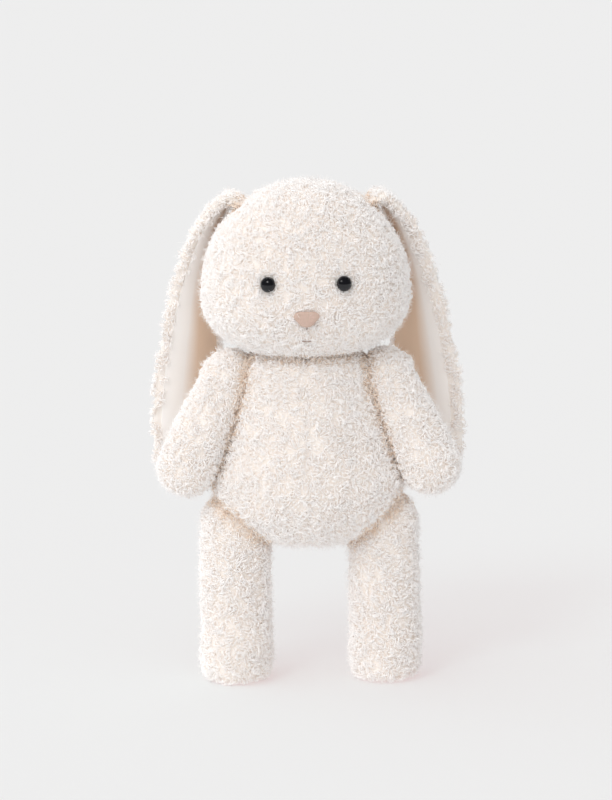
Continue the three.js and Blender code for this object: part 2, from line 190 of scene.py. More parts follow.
def nose_material():
    """Pink-taupe satin floss, mottled a little darker and lighter."""
    material = principled(
        "nose_floss", (0.62, 0.45, 0.37), 0.6, Sheen_Weight=0.1, Sheen_Roughness=0.4
    )
    color = ramp(
        material,
        noise_of(material, 700, 3.0, (3, 1, 0.4)),
        [(0.3, (0.57, 0.42, 0.335)), (0.7, (0.67, 0.47, 0.4))],
    )
    shader = material.node_tree.nodes["Principled BSDF"]
    material.node_tree.links.new(color, shader.inputs["Base Color"])
    bumped(material, noise_of(material, 2600, 2.0, (4, 1, 0.3)), 0.1 * MM)
    return material


def thread_material(name, color):
    """Twisted sewing thread."""
    material = principled(name, color, 0.7, Sheen_Weight=0.2)
    bumped(material, noise_of(material, 2500), 0.1 * MM)
    return material


# Painted light and shade on the lining, from the pale, lit outer edge of the ear to the tan, shaded
# inner one.
LINING_SHADE_STOPS = [
    (0.0, (0.975, 0.955, 0.935)),
    (0.3, (0.965, 0.93, 0.9)),
    (0.54, (0.83, 0.64, 0.49)),
    (1.0, (0.81, 0.62, 0.47)),
]
SOFT = {"Sheen_Weight": 0.1, "Sheen_Roughness": 0.5, "Specular_IOR_Level": 0.1}
# Painted shade: the locks' lower rings are darker and warmer, standing for the shade deep in the
# pile.
PILE_ROOT_SHADE = principled("pile_painted_root_shade", (0.957, 0.918, 0.882), 0.95, **SOFT)
PILE_SHADES = [
    principled("pile_cream", (0.985, 0.972, 0.966), 0.9, **SOFT),
    principled("pile_ivory", (0.988, 0.977, 0.972), 0.9, **SOFT),
    principled("pile_milk", (0.99, 0.982, 0.979), 0.9, **SOFT),
    principled("pile_oat", (0.975, 0.952, 0.939), 0.9, **SOFT),
]
# Painted shade: a warm tan for locks in the creases between parts, where shade falls.
PILE_CREASE_SHADE = principled("pile_painted_crease_shade", (0.92, 0.82, 0.725), 0.9, **SOFT)
PILE = [PILE_ROOT_SHADE, *PILE_SHADES, PILE_CREASE_SHADE]
BACKING = backing_material()
LINING = lining_material()
NOSE = nose_material()
THREAD = thread_material("seam_thread", (0.74, 0.62, 0.5))
MOUTH_THREAD = thread_material("mouth_thread", (0.4, 0.31, 0.27))
EYE = principled("bead_black", (0.004, 0.004, 0.006), 0.1)
WASHER = principled("washer_plastic", (0.8, 0.8, 0.77), 0.45)

# ---------------------------------------------------------------- meshes


def add_mesh(name, vertices, faces, materials, shades=None):
    """A mesh object of rows of faces, which are arrays of three or four corners each.

    shades is the material of each face of a pile, whose fine locks are not smoothed.
    """
    corners = np.concatenate([f.ravel() for f in faces]).astype(np.int32)
    totals = np.concatenate([np.full(len(f), f.shape[1]) for f in faces]).astype(np.int32)
    starts = (np.cumsum(totals) - totals).astype(np.int32)
    mesh = bpy.data.meshes.new(name)
    mesh.vertices.add(len(vertices))
    mesh.vertices.foreach_set("co", np.asarray(vertices, np.float32).ravel())
    mesh.loops.add(len(corners))
    mesh.loops.foreach_set("vertex_index", corners)
    mesh.polygons.add(len(totals))
    mesh.polygons.foreach_set("loop_start", starts)
    mesh.polygons.foreach_set("loop_total", totals)
    mesh.polygons.foreach_set("use_smooth", np.full(len(totals), shades is None))
    for material in materials:
        mesh.materials.append(material)
    if shades is not None:
        mesh.polygons.foreach_set("material_index", shades.astype(np.int32))
    mesh.update(calc_edges=True)
    mesh.validate()
    made = bpy.data.objects.new(name, mesh)
    bpy.context.scene.collection.objects.link(made)
    return made


def skin_faces(rows, columns):
    """The faces of a closed skin: rings of points from one pole to the other, which come last."""
    ring = np.arange(rows)[:, None] * columns
    here = np.arange(columns)
    there = (here + 1) % columns
    low, high = ring[:-1], ring[1:]
    quads = np.stack([low + here, low + there, high + there, high + here], -1)
    first, last = rows * columns, rows * columns + 1
    start = np.stack([np.full(columns, first), there, here], -1)
    top = (rows - 1) * columns
    end = np.stack([np.full(columns, last), top + here, top + there], -1)
    return [quads.reshape(-1, 4), np.concatenate([start, end])]


def triangles(faces):
    """The same faces as triangles."""
    return np.concatenate(
        [f if f.shape[1] == 3 else np.concatenate([f[:, :3], f[:, [0, 2, 3]]]) for f in faces]
    )


def point_normals(points, tris):
    """The smooth normal at each point."""
    a, b, c = points[tris[:, 0]], points[tris[:, 1]], points[tris[:, 2]]
    across = np.cross(b - a, c - a)
    total = np.zeros_like(points)
    for corner in range(3):
        np.add.at(total, tris[:, corner], across)
    return unit(total)


def unit(vectors):
    """The same directions at length one."""
    return vectors / np.maximum(np.linalg.norm(vectors, axis=-1, keepdims=True), 1e-12)


def smoothstep(low, high, value):
    """A smooth rise from 0 at low to 1 at high."""
    share = np.clip((value - low) / (high - low), 0, 1)
    return share * share * (3 - 2 * share)


def lumps(points, size, seed):
    """Smooth noise from -1 to 1, with bumps of about that size."""
    cell = np.floor(points / size).astype(np.int64)
    inside = points / size - cell
    blend = inside * inside * (3 - 2 * inside)
    total = np.zeros(len(points))
    for corner in np.ndindex(2, 2, 2):
        at = cell + corner
        mixed = at[:, 0] * 73856093 ^ at[:, 1] * 19349663 ^ at[:, 2] * 83492791 ^ seed * 2654435
        mixed = (mixed ^ (mixed >> 13)) * 1274126177 & 0xFFFFFFFF
        value = ((mixed ^ (mixed >> 16)) & 0xFFFF) / 32767.5 - 1
        share = np.where(np.array(corner) == 1, blend, 1 - blend).prod(axis=1)
        total += value * share
    return total


def smooth_line(points, count):
    """A smooth curve through the points, at evenly spaced shares of its length."""
    points = np.asarray(points, float)
    ends = np.vstack([2 * points[0] - points[1], points, 2 * points[-1] - points[-2]])
    fine = []
    for i in range(len(points) - 1):
        a, b, c, d = ends[i : i + 4]
        t = np.linspace(0, 1, 12, endpoint=False)[:, None]
        fine.append(
            0.5 * (2 * b + (c - a) * t + (2 * a - 5 * b + 4 * c - d) * t**2
                   + (3 * b - 3 * c + d - a) * t**3)
        )
    fine = np.vstack([*fine, points[-1:]])
    steps = np.linalg.norm(np.diff(fine, axis=0), axis=1)
    length = np.concatenate([[0], np.cumsum(steps)])
    wanted = np.linspace(0, length[-1], count)
    return np.stack([np.interp(wanted, length, column) for column in fine.T], -1)


# ---------------------------------------------------------------- locks of pile


def scatter(points, tris, spacing, rng):
    """Places spread evenly over a surface, at least the spacing apart, with their normals."""
    a, b, c = points[tris[:, 0]], points[tris[:, 1]], points[tris[:, 2]]
    normals = point_normals(points, tris)
    areas = np.linalg.norm(np.cross(b - a, c - a), axis=1) / 2
    count = int(CANDIDATES * areas.sum() / spacing**2)
    chosen = rng.choice(len(tris), count, p=areas / areas.sum())
    weights = rng.dirichlet((1, 1, 1), count)
    corners = tris[chosen]
    places = (points[corners] * weights[:, :, None]).sum(axis=1)
    facing = unit((normals[corners] * weights[:, :, None]).sum(axis=1))
    tree = KDTree(count)
    for i, place in enumerate(places):
        tree.insert(place, i)
    tree.balance()
    free = np.ones(count, bool)
    kept = []
    near = LEAST_GAP * spacing
    for i, place in enumerate(places):
        if free[i]:
            kept.append(i)
            for _, j, _ in tree.find_range(place, near):
                free[j] = False
    return places[kept], facing[kept]


def tangents(normals, angles):
    """A direction along the surface for each normal, turned about it by the angle."""
    up = np.where(np.abs(normals[:, 2:]) < 0.9, [[0.0, 0, 1]], [[1.0, 0, 0]])
    first = unit(np.cross(normals, up))
    second = np.cross(normals, first)
    return first * np.cos(angles)[:, None] + second * np.sin(angles)[:, None]


def tubes(paths, radii, aside):
    """Closed three-sided tubes along the paths, tapered to a tip: their points and faces.

    aside is a direction for each path that the path never runs along.
    """
    count, rings, _ = paths.shape
    along = unit(np.gradient(paths, axis=1))
    side = unit(np.cross(along, aside[:, None]))
    other = np.cross(along, side)
    turn = np.arange(3) * 2 * math.pi / 3
    ring = (
        side[:, :-1, None] * np.cos(turn)[:, None] + other[:, :-1, None] * np.sin(turn)[:, None]
    )
    ring = paths[:, :-1, None] + ring * radii[:, :-1, None, None]
    body = 3 * (rings - 1)
    points = np.concatenate([ring.reshape(count, body, 3), paths[:, -1:]], axis=1)
    size = body + 1
    here = np.arange(3)
    there = (here + 1) % 3
    low = 3 * np.arange(rings - 2)[:, None]
    quads = np.stack([low + here, low + there, low + 3 + there, low + 3 + here], -1)
    tip = np.stack([body - 3 + here, body - 3 + there, np.full(3, body)], -1)
    root = np.array([[2, 1, 0]])
    start = size * np.arange(count)[:, None, None]
    quads = (start + quads.reshape(1, -1, 4)).reshape(-1, 4)
    ends = (start + np.concatenate([tip, root])[None]).reshape(-1, 3)
    return points.reshape(-1, 3), quads, ends


def locks(places, normals, heights, rng):
    """The paths of curled locks: each tuft's locks curl about nearly the same axis."""
    tufts = len(places)
    many = tufts * LOCKS_IN_TUFT
    tuft = np.repeat(np.arange(tufts), LOCKS_IN_TUFT)
    facing = normals[tuft]
    from_middle = np.sqrt(rng.random(many))
    spread = TUFT_SPREAD * TUFT_SPACING * from_middle
    away = tangents(facing, rng.random(many) * 2 * math.pi)
    roots = places[tuft] + away * spread[:, None]
    leaning = unit(facing + away * (TUFT_LEAN * from_middle)[:, None])
    axis_turn = (rng.random(tufts) * 2 * math.pi)[tuft] + rng.normal(0, 0.5, many)
    axis = tangents(leaning, axis_turn)
    across = np.cross(leaning, axis)
    # A tuft stands highest in its middle, and some tufts stand over their neighbours.
    dome = TUFT_CROWN - TUFT_FALL * from_middle**2
    height = heights[tuft] * rng.uniform(0.82, 1.12, tufts)[tuft] * dome
    height = height * rng.uniform(0.85, 1.15, many)
    radius = height * rng.uniform(0.24, 0.38, many)
    sweep = np.radians(rng.uniform(190, 400, many))
    first = np.radians(rng.uniform(-50, 25, many))
    advance = height * rng.uniform(0.1, 0.85, many)
    lift = height - 2 * radius
    share = np.linspace(0, 1, LOCK_RINGS + 1)[None, :, None]
    angle = first[:, None, None] + sweep[:, None, None] * share
    turned = radius[:, None, None] * (
        (1 - np.cos(angle)) * leaning[:, None] + np.sin(angle) * across[:, None]
    )
    paths = (
        roots[:, None]
        + turned
        + axis[:, None] * (advance[:, None, None] * share)
        + leaning[:, None] * (lift[:, None, None] * np.sqrt(share) - ROOT_DEPTH)
    )
    taper = 1 - 0.6 * np.linspace(0, 1, LOCK_RINGS + 1) ** 1.6
    radii = LOCK_RADIUS * rng.uniform(0.75, 1.25, many)[:, None] * taper
    return paths, radii, axis


def hairs(places, normals, heights, rng):
    """The paths of single hairs that stand out of the pile."""
    count = int(len(places) * HAIRS_PER_TUFT)
    chosen = rng.integers(0, len(places), count)
    facing = normals[chosen]
    away = tangents(facing, rng.random(count) * 2 * math.pi)
    other = np.cross(facing, away)
    roots = places[chosen] + away * (TUFT_SPACING * rng.uniform(0, 0.6, count))[:, None]
    reach = heights[chosen] * rng.uniform(1.2, 1.9, count)
    share = np.linspace(0, 1, HAIR_POINTS)[None, :, None]
    bend = rng.uniform(-0.7, 0.7, (2, count))[:, :, None, None]
    paths = roots[:, None] + reach[:, None, None] * (
        facing[:, None] * share
        + away[:, None] * bend[0] * share**2
        + other[:, None] * bend[1] * np.sin(3 * share)
    )
    radii = np.full((count, HAIR_POINTS), HAIR_RADIUS) * np.linspace(1, 0.5, HAIR_POINTS)
    return paths, radii, other


def pile_patch(name, curled, fine, crease_shade, rng):
    """One patch of pile: its locks, in the shades of the cloth, and its fine hairs.

    Its fourth argument is how likely each tuft's locks are to take painted shade: the warm tan that
    stands for the shade in a crease.
    """
    points, quads, ends = tubes(*curled)
    hair_points, hair_quads, hair_ends = tubes(*fine)
    lock_count, hair_count = len(curled[0]), len(fine[0])
    shade = rng.integers(1, 1 + len(PILE_SHADES), lock_count)
    # Painted shade: some locks near a crease take the warm tan.
    in_crease_shade = rng.random(lock_count) < np.repeat(crease_shade, LOCKS_IN_TUFT)
    shade[in_crease_shade] = PILE.index(PILE_CREASE_SHADE)
    rows = LOCK_RINGS - 1
    quad_shade = np.repeat(shade, 3 * rows).reshape(-1, rows, 3)
    # Painted shade at the roots of the locks.
    quad_shade[:, :ROOT_RINGS] = 0
    hair_shade = 1 + (np.arange(hair_count) % len(PILE_SHADES))
    shades = np.concatenate(
        [
            quad_shade.ravel(),
            np.repeat(shade, 4),
            np.repeat(hair_shade, 3 * (fine[0].shape[1] - 2)),
            np.repeat(hair_shade, 4),
        ]
    )
    shift = len(points)
    faces = [quads, ends, hair_quads + shift, hair_ends + shift]
    points = np.concatenate([points, hair_points])
    points[:, 2] = np.maximum(points[:, 2], FLOOR_CLEARANCE)
    return add_mesh(name, points, faces, PILE, shades)


COATS = []  # each skin that has a pile: what grow_pile needs for it


def coat(name, points, tris, rng, attach, height=None):
    """Notes that a skin has a pile.

    height gives the share of the pile's height at each place, from the places and their normals.
    """
    COATS.append((name, points, tris, rng, attach, height))


def grow_coats():
    """Grows every pile, with painted shade in a warm tan where one skin lies close to another."""
    trees = [
        BVHTree.FromPolygons(points.tolist(), tris.tolist()) for _, points, tris, *_ in COATS
    ]
    for number, row in enumerate(COATS):
        grow_pile(*row, trees[:number] + trees[number + 1 :])


def grow_pile(name, points, tris, rng, attach, height, neighbours):
    """Roots a pile in a skin."""
    places, normals = scatter(points, tris, TUFT_SPACING, rng)
    heights = np.full(len(places), PILE_HEIGHT)
    if height is not None:
        heights = heights * height(places, normals)
    kept = heights > LEAST_PILE * PILE_HEIGHT
    places, normals, heights = places[kept], normals[kept], heights[kept]
    heights = heights * (1 + LUMP_SHARE * lumps(places, PILE_LUMPS, 5))
    # Painted shade in the creases: how close each tuft lies to another skin.
    crease_shade = np.zeros(len(places))
    for tree in neighbours:
        near = [tree.find_nearest(place, CREASE_SHADE_REACH)[3] for place in places]
        away = np.array([CREASE_SHADE_REACH if gap is None else gap for gap in near])
        crease_shade = np.maximum(crease_shade, 1 - smoothstep(CREASE_SHADE_CORE, CREASE_SHADE_REACH, away))
    middle = places.mean(axis=0)
    order = np.argsort(np.arctan2(places[:, 1] - middle[1], places[:, 0] - middle[0]))
    patches = max(1, math.ceil(len(places) * LOCKS_IN_TUFT / MOST_LOCKS))
    for number, chosen in enumerate(np.array_split(order, patches), 1):
        here = places[chosen], normals[chosen], heights[chosen]
        curled, fine = locks(*here, rng), hairs(*here, rng)
        patch = pile_patch(f"{name}_pile_{number}", curled, fine, crease_shade[chosen], rng)
        attach(patch)


def add_skin(name, points, faces, replaced):
    """A stuffed part's skin of backing cloth, which stands for the part's CAD solids."""
    skin = add_mesh(name, points, faces, [BACKING])
    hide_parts(*replaced)
    return skin


def box_of(name):
    """The low and the high corner of a CAD node's box."""
    low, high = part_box(name)
    return np.array(low), np.array(high)


def centre_of(name):
    """The middle of a CAD node's box."""
    low, high = box_of(name)
    return (low + high) / 2


# ---------------------------------------------------------------- head

HEAD_LOW, HEAD_HIGH = box_of("head_skin")
HEAD_HALF = (HEAD_HIGH - HEAD_LOW) / 2
CHIN_SHARE = 0.339  # of the head's height, below its widest level
HEAD_POWER = 2.15
HEAD_MIDDLE = (HEAD_LOW + HEAD_HIGH) / 2
HEAD_MIDDLE[2] = HEAD_LOW[2] + CHIN_SHARE * 2 * HEAD_HALF[2]
HEAD_UP = HEAD_HIGH[2] - HEAD_MIDDLE[2]
HEAD_DOWN = HEAD_MIDDLE[2] - HEAD_LOW[2]
SKIN_DEPTH = 2.9 * MM  # the backing cloth's depth under the CAD surface


def sphere_directions(rows, columns):
    """Directions over a sphere, row by row from below, and then the two poles."""
    polar = np.linspace(0, math.pi, rows + 2)[1:-1]
    turn = np.linspace(0, 2 * math.pi, columns, endpoint=False)
    polar, turn = np.meshgrid(polar, turn, indexing="ij")
    sides = np.stack(
        [np.sin(polar) * np.cos(turn), np.sin(polar) * np.sin(turn), -np.cos(polar)], -1
    )
    return np.vstack([sides.reshape(-1, 3), [[0, 0, -1], [0, 0, 1]]])


def head_surface(directions, inset):
    """The head in those directions from its middle, at its widest level."""
    power = (np.abs(directions) ** HEAD_POWER).sum(axis=1) ** (-1 / HEAD_POWER)
    share = directions * power[:, None]
    height = np.where(share[:, 2] > 0, HEAD_UP, HEAD_DOWN)
    return HEAD_MIDDLE + share * np.stack(
        [
            np.full(len(share), HEAD_HALF[0] - inset),
            np.full(len(share), HEAD_HALF[1] - inset),
            height - inset,
        ],
        -1,
    )


def face_at(x, z, inset=0.0):
    """The point on the front of the head at that x and z."""
    rise = (HEAD_UP if z > HEAD_MIDDLE[2] else HEAD_DOWN) - inset
    share = abs(x / (HEAD_HALF[0] - inset)) ** HEAD_POWER
    share += abs((z - HEAD_MIDDLE[2]) / rise) ** HEAD_POWER
    depth = (HEAD_HALF[1] - inset) * (1 - share) ** (1 / HEAD_POWER)
    return np.array([x, HEAD_MIDDLE[1] - depth, z])


EYES = {side: face_at(*centre_of(f"{side}_eye")[[0, 2]]) for side, _ in SIDES}
EYE_RADIUS = 5.0 * MM
EYE_FLATTENING = 0.22  # how much lower the bead's dome is than half a ball
EYE_SUNK = 0.8 * MM  # the bead's middle, under the surface of the head
SOCKET_REACH = 9 * MM  # the dimple that the eye's thread draws in
SOCKET_DEPTH = 1.2 * MM
NOSE_MIDDLE = centre_of("nose")
NOSE_LOW, NOSE_HIGH = box_of("nose")


def face_height(places, normals):
    """The pile is short round the eyes and the nose, and absent under them."""
    height = np.ones(len(places))
    for eye in EYES.values():
        away = np.linalg.norm(places - eye, axis=1)
        height *= smoothstep(0.4 * EYE_RADIUS, 0.95 * EYE_RADIUS, away)
    half = (NOSE_HIGH - NOSE_LOW) / 2
    off = (places - NOSE_MIDDLE) / half
    away = np.hypot(off[:, 0], off[:, 2])
    in_front = places[:, 1] < HEAD_MIDDLE[1]
    return height * np.where(in_front, smoothstep(0.3, 0.75, away), 1)


def stuffed(points, faces, seed, amount=0.9 * MM):
    """Gives a skin the uneven swells of a hand-filled part."""
    normals = point_normals(points, triangles(faces))
    swell = lumps(points, SWELL, seed) + 0.5 * lumps(points, FINE_SWELL, seed + 1)
    return points + normals * (amount * swell)[:, None]


def ride_with(body):
    """A function that makes a piece ride on that body."""
    return lambda piece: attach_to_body(piece, body)


def make_head(rng):
    rows, columns = 70, 120
    faces = skin_faces(rows, columns)
    points = head_surface(sphere_directions(rows, columns), SKIN_DEPTH)
    points = stuffed(points, faces, 11)
    for eye in EYES.values():
        near = np.exp(-((np.linalg.norm(points - eye, axis=1) / SOCKET_REACH) ** 2))
        points[:, 1] += SOCKET_DEPTH * near
    skin = add_skin("head_cover", points, faces, ["head_skin", "head_stuffing"])
    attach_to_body(skin, "head")
    coat("head", points, triangles(faces), rng, ride_with("head"), face_height)


def make_eye(side):
    """A domed bead, set into the pile so that the locks meet its edge."""
    rows, columns = 24, 48
    directions = sphere_directions(rows, columns)
    spot = EYES[side]
    out = unit(spot - (HEAD_MIDDLE + [0, 0, 0.3 * (spot[2] - HEAD_MIDDLE[2])]))
    depth = directions @ out
    points = spot + EYE_RADIUS * (directions - EYE_FLATTENING * out * depth[:, None]) - EYE_SUNK * out
    bead = add_mesh(f"{side}_bead", points, skin_faces(rows, columns), [EYE])
    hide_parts(f"{side}_eye")
    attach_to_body(bead, "head")


def make_nose():
    """A padded nose of satin stitches: a rounded triangle, wide at the top."""
    rows, columns = 40, 96
    half = (NOSE_HIGH - NOSE_LOW) / 2
    turn = np.linspace(0, 2 * math.pi, columns, endpoint=False)
    # A rounded triangle: the radius is longest towards its three corners.
    radius = 1 / (1 - 0.13 * np.cos(3 * (turn + math.pi / 2)))
    outline = np.stack([np.cos(turn) * radius, np.sin(turn) * radius], -1)
    outline /= np.abs(outline).max(axis=0)
    reach = np.linspace(-1, 1, rows + 2)[1:-1]
    size = (1 - np.abs(reach) ** 2.6) ** (1 / 2.6)
    depth = 1.7 * MM
    sunk = 0.4 * MM
    x = NOSE_MIDDLE[0] + 0.92 * half[0] * size[:, None] * outline[None, :, 0]
    z = NOSE_MIDDLE[2] + half[2] * size[:, None] * outline[None, :, 1]
    ridge = np.sin((z - NOSE_MIDDLE[2]) / (0.42 * MM)) * 0.12 * MM
    y = NOSE_HIGH[1] + sunk - depth * reach[:, None] - np.where(reach[:, None] > 0, ridge, 0)
    sides = np.stack([x, y, z], -1).reshape(-1, 3)
    poles = [
        [NOSE_MIDDLE[0], NOSE_HIGH[1] + sunk + depth, NOSE_MIDDLE[2]],
        [NOSE_MIDDLE[0], NOSE_HIGH[1] + sunk - depth, NOSE_MIDDLE[2]],
    ]
    pad = add_mesh("nose_pad", np.vstack([sides, poles]), skin_faces(rows, columns), [NOSE])
    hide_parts("nose")
    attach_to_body(pad, "head")


def stitch(name, line, radius, material, body):
    """A tube of thread along a line of points."""
    path = smooth_line(line, 14)[None]
    radii = np.full((1, 14), radius)
    radii[0, -1] = radius / 2
    points, quads, ends = tubes(path, radii, np.array([[0.0, 1, 0]]))
    thread = add_mesh(name, points, [quads, ends], [material])
    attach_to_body(thread, body)
    return thread


def make_mouth():
    """A short stitch under the nose and a faint smile below it."""
    low, high = box_of("mouth_stitch")
    middle = (low + high) / 2
    surface = face_at(0, middle[2])
    proud = 0.8 * MM
    line = [
        [x, surface[1] - proud, middle[2] + 40 * x * x] for x in np.linspace(low[0], high[0], 5)
    ]
    smile = stitch("mouth", line, 0.55 * MM, MOUTH_THREAD, "head")
    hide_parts("mouth_stitch")
    base = NOSE_LOW[2]
    drop = [
        [0, face_at(0, base - z)[1] - proud, base - z] for z in np.linspace(-0.5 * MM, 2 * MM, 4)
    ]
    stitch("nose_stitch", drop, 0.6 * MM, MOUTH_THREAD, "head")


# ---------------------------------------------------------------- torso and tail

TORSO_LOW, TORSO_HIGH = box_of("torso_skin")
TORSO_MIDDLE = (TORSO_LOW + TORSO_HIGH) / 2
TORSO_HALF = (TORSO_HIGH - TORSO_LOW) / 2
# [share of the half width, share of the height], from the seat to inside the head's chin
TORSO_OUTLINE = [
    [0.0, 0.0],
    [0.3, 0.005],
    [0.55, 0.04],
    [0.77, 0.11],
    [0.93, 0.21],
    [1.0, 0.34],
    [0.97, 0.46],
    [0.89, 0.6],
    [0.81, 0.74],
    [0.75, 0.86],
    [0.72, 0.95],
    [0.69, 1.02],
    [0.6, 1.075],
    [0.42, 1.12],
    [0.2, 1.15],
    [0.0, 1.155],
]
TORSO_DEPTH = 2.4 * MM  # the backing cloth's depth under the CAD surface, here and on the tail
SEAM_HALF = 1.6 * MM
SEAM_DIP = 0.9 * MM
CHIN_ROOM = 3 * MM  # over the chin, from where the neck has no pile
HIP_ROOM = 17 * MM  # round a hip, where the thigh covers the body
SHOULDER_ROOM = 12 * MM  # round a shoulder, where the arm does
SEAM_SHARE = 0.35  # how much lower the pile lies on the middle seam
TAIL_PILE = 1.25  # as a share of the pile's height elsewhere
STITCH_PITCH = 4.2 * MM  # of the ladder stitches up the back
STITCH_HALF = 2.1 * MM
STITCH_LEAN = 0.9 * MM
STITCH_PROUD = 1.6 * MM  # over the backing cloth


def near_seam(points):
    """1 on the middle seam of the front and the back, and 0 away from it."""
    return np.exp(-((points[:, 0] / SEAM_HALF) ** 2))


def torso_height(places, normals):
    """The pile lies lower along the middle seam, and is left out inside the neck and the limbs."""
    height = 1 - SEAM_SHARE * near_seam(places)
    height[places[:, 2] > HEAD_LOW[2] + CHIN_ROOM] = 0
    for side, _ in SIDES:
        hip = np.linalg.norm(places - PIVOTS[f"{side}_leg_spread"], axis=1)
        shoulder = np.linalg.norm(places - PIVOTS[f"{side}_arm_raise"], axis=1)
        height[hip < HIP_ROOM] = 0
        height[shoulder < SHOULDER_ROOM] = 0
    return height


def turned_skin(outline, columns, rows):
    """Rings of (radius, height) rows turned about Z, then the two poles."""
    line = smooth_line(outline, rows + 2)
    turn = np.linspace(0, 2 * math.pi, columns, endpoint=False)
    ring = np.stack([np.cos(turn), np.sin(turn)], -1)
    sides = np.concatenate(
        [
            line[1:-1, None, :1] * ring[None],
            np.repeat(line[1:-1, None, 1:], columns, axis=1),
        ],
        axis=-1,
    )
    poles = [[0, 0, line[0, 1]], [0, 0, line[-1, 1]]]
    return np.vstack([sides.reshape(-1, 3), poles])


def make_torso(rng):
    rows, columns = 84, 120
    faces = skin_faces(rows, columns)
    half = TORSO_HALF - TORSO_DEPTH
    outline = np.array(TORSO_OUTLINE) * [half[0], 2 * half[2]]
    points = turned_skin(outline, columns, rows)
    points[:, 1] *= half[1] / half[0]
    points += [TORSO_MIDDLE[0], TORSO_MIDDLE[1], TORSO_LOW[2] + TORSO_DEPTH]
    points = stuffed(points, faces, 23)
    normals = point_normals(points, triangles(faces))
    points -= normals * (SEAM_DIP * near_seam(points))[:, None]
    replaced = ["torso_skin", "torso_stuffing", "seat_pellet_bag"]
    skin = add_skin("torso_cover", points, faces, replaced)
    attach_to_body(skin, "torso")
    coat("torso", points, triangles(faces), rng, ride_with("torso"), torso_height)
    return points


def make_tail(rng):
    low, high = box_of("tail_skin")
    radius = (high[0] - low[0]) / 2
    middle = (low + high) / 2
    middle[1] = high[1] - radius
    rows, columns = 28, 48
    faces = skin_faces(rows, columns)
    points = middle + (radius - TORSO_DEPTH) * sphere_directions(rows, columns)
    skin = add_skin("tail_cover", points, faces, ["tail_skin", "tail_stuffing"])
    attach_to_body(skin, "torso")

    def taller(places, normals):
        return np.where(places[:, 1] > low[1] + 1 * MM, TAIL_PILE, 0)

    coat("tail", points, triangles(faces), rng, ride_with("torso"), taller)


def make_back_seam(torso_points):
    """The ladder stitches that close the back, laid in the dip of the seam."""
    low, high = box_of("back_closing_seam")
    near_middle = np.abs(torso_points[:, 0]) < 3 * MM
    back = torso_points[near_middle & (torso_points[:, 1] > TORSO_MIDDLE[1])]
    back = back[np.argsort(back[:, 2])]
    parts = []
    for z in np.arange(low[2], high[2], STITCH_PITCH):
        y = np.interp(z, back[:, 2], back[:, 1]) + STITCH_PROUD
        start = [-STITCH_HALF, y, z - STITCH_LEAN]
        end = [STITCH_HALF, y, z + STITCH_LEAN]
        parts.append(smooth_line([start, [0, y + 0.6 * MM, z], end], 9))
    paths = np.array(parts)
    aside = np.tile([0.0, 0, 1], (len(paths), 1))
    points, quads, ends = tubes(paths, np.full(paths.shape[:2], 0.45 * MM), aside)
    seam = add_mesh("ladder_stitches", points, [quads, ends], [THREAD])
    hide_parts("back_closing_seam")
    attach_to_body(seam, "torso")


# ---------------------------------------------------------------- limbs

ARM_REACH = np.array([27, -10, -56]) * MM
ARM_ROOT = 15.8 * MM
ARM_CAP = 1.1  # how high the arm's top is rounded, as a share of its radius
ARM_PAW = 17.0 * MM
LEG_TOP = 20.3 * MM
LEG_SOLE = 20.8 * MM
TOE = 0.3  # how far the foot reaches past the column, as a share of its radius
SOLE_EDGE = 8.5 * MM  # how far the sole's edge is rounded
FOOT_HEIGHT = 42 * MM
SOLE_PILE = 2.0 * MM  # how high the trodden pile holds the sole over the floor
TRODDEN = 0.4  # the height of that pile, as a share of the height elsewhere


def arc_points(radius, height, first, last, count):
    """Points of (radius, height) on an arc about the axis, angles in degrees over the horizon."""
    angles = np.radians(np.linspace(first, last, count))
    return np.stack([radius * np.cos(angles), height + radius * np.sin(angles)], -1)


def make_arm(side, sign, rng):
    rows, columns = 56, 64
    faces = skin_faces(rows, columns)
    length = np.linalg.norm(ARM_REACH)
    outline = np.vstack(
        [
            arc_points(ARM_PAW, -length, -90, 5, 8),
            [[0.985 * ARM_PAW, -0.72 * length], [0.93 * ARM_PAW, -0.42 * length]],
            arc_points(ARM_ROOT, 0, -12, 90, 7) * [1, ARM_CAP],
        ]
    )
    points = turned_skin(outline, columns, rows)
    reach = Vector(ARM_REACH * [sign, 1, 1])
    turn = np.array(Vector((0, 0, -1)).rotation_difference(reach).to_matrix())
    points = points @ turn.T + PIVOTS[f"{side}_arm_raise"]
    points = stuffed(points, faces, 37 if sign > 0 else 53, 0.7 * MM)
    replaced = [f"{side}_arm_skin", f"{side}_arm_stuffing"]
    skin = add_skin(f"{side}_arm_cover", points, faces, replaced)
    body = f"{side}_arm"
    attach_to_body(skin, body)
    coat(f"{side}_arm", points, triangles(faces), rng, ride_with(body))


